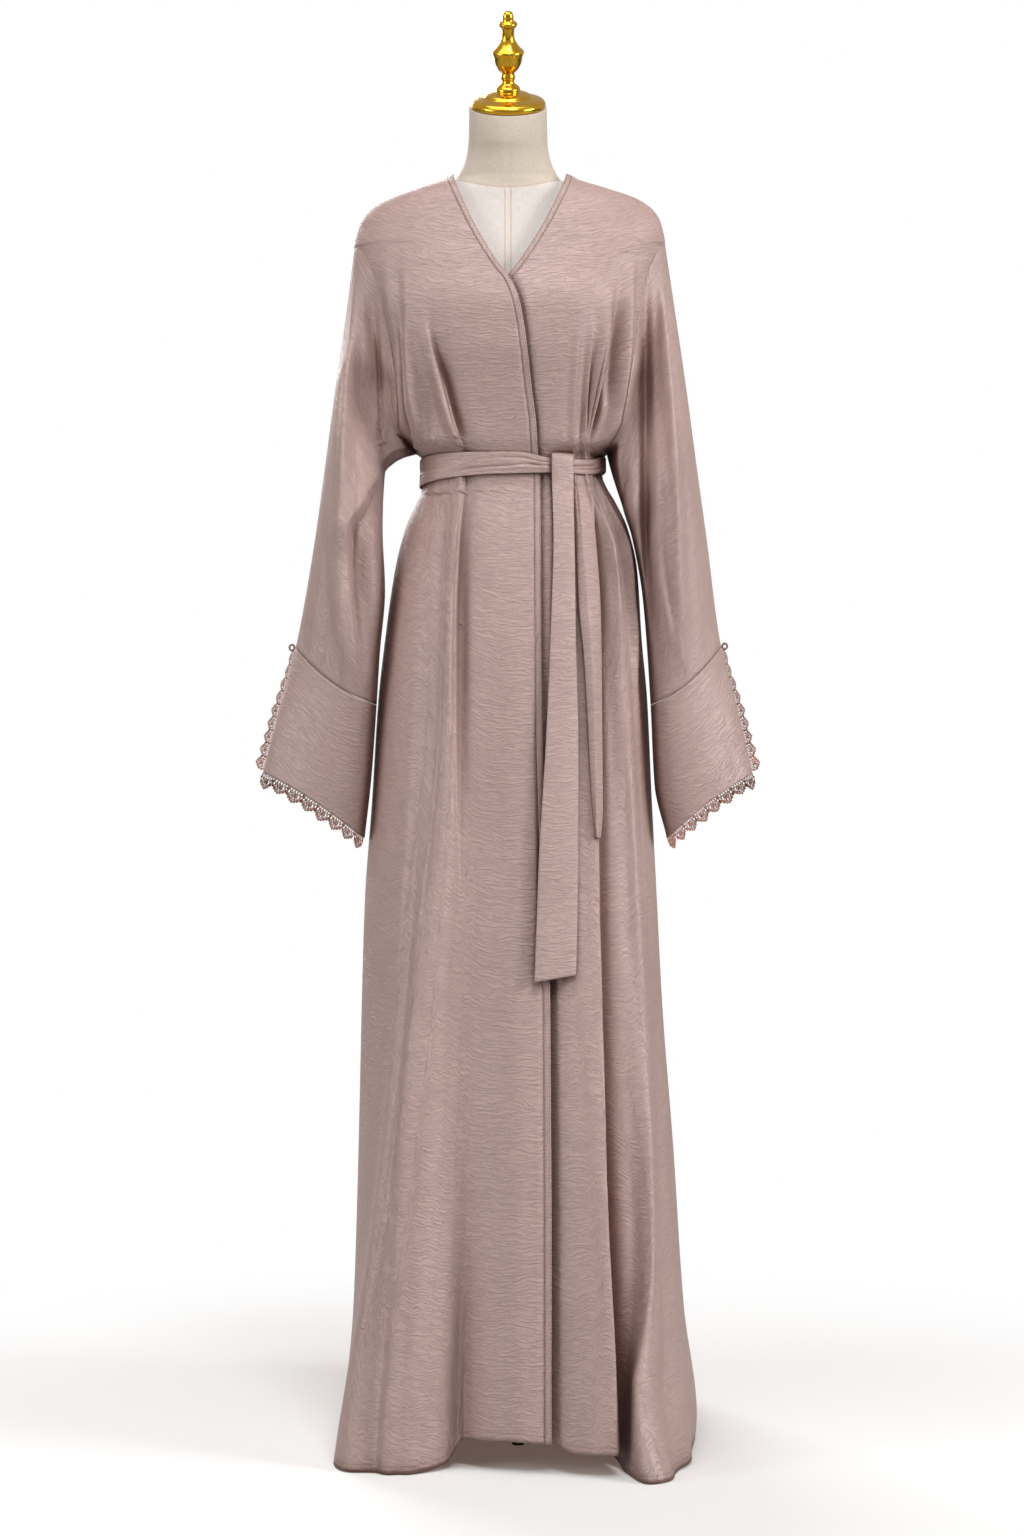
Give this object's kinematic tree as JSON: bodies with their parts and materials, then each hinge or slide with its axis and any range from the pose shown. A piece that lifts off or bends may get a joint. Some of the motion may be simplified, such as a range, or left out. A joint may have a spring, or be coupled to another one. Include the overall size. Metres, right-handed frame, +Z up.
{
  "type": "abaya cloak on a limbless dress form with a stand",
  "caption": "Floor-length open wrap abaya with wide kimono sleeves, slit lace-edged cuffs and a tie belt, worn by a limbless dress form on a tripod stand.",
  "frame": {"origin": "on the floor below the stand's pole, at the middle of the overall footprint", "axes": "+Z up; the wearer faces -Y; +X is the wearer's left"},
  "size_m": [0.6069, 0.6317, 1.6877],
  "materials": {
    "cloth": "dusty rose crinkled satin crepe, low sheen",
    "lace": "matte cord lace with scalloped edge",
    "linen": "ivory linen stretched over the form",
    "gold": "polished gold plate"
  },
  "bodies": {
    "root": {"front_right": "cloth", "front_left": "cloth", "back": "cloth", "band_right": "cloth", "band_left": "cloth", "band_neck": "cloth", "sleeve_right": "cloth", "sleeve_left": "cloth", "cuff_right": "cloth", "cuff_left": "cloth", "belt_wrap": "cloth", "belt_knot": "cloth", "belt_tail_long": "cloth", "belt_tail_short": "cloth", "slit_loop_right": "cloth", "slit_loop_left": "cloth", "lace_slit_right": "lace", "lace_slit_left": "lace", "lace_hem_right": "lace", "lace_hem_left": "lace", "dress_form": "linen", "neck_cap": "gold", "stand_pole": "gold", "stand_hub": "gold", "stand_leg_front": "gold", "stand_leg_left": "gold", "stand_leg_right": "gold", "stand_foot_front": "gold", "stand_foot_left": "gold", "stand_foot_right": "gold"}
  },
  "joints": []
}
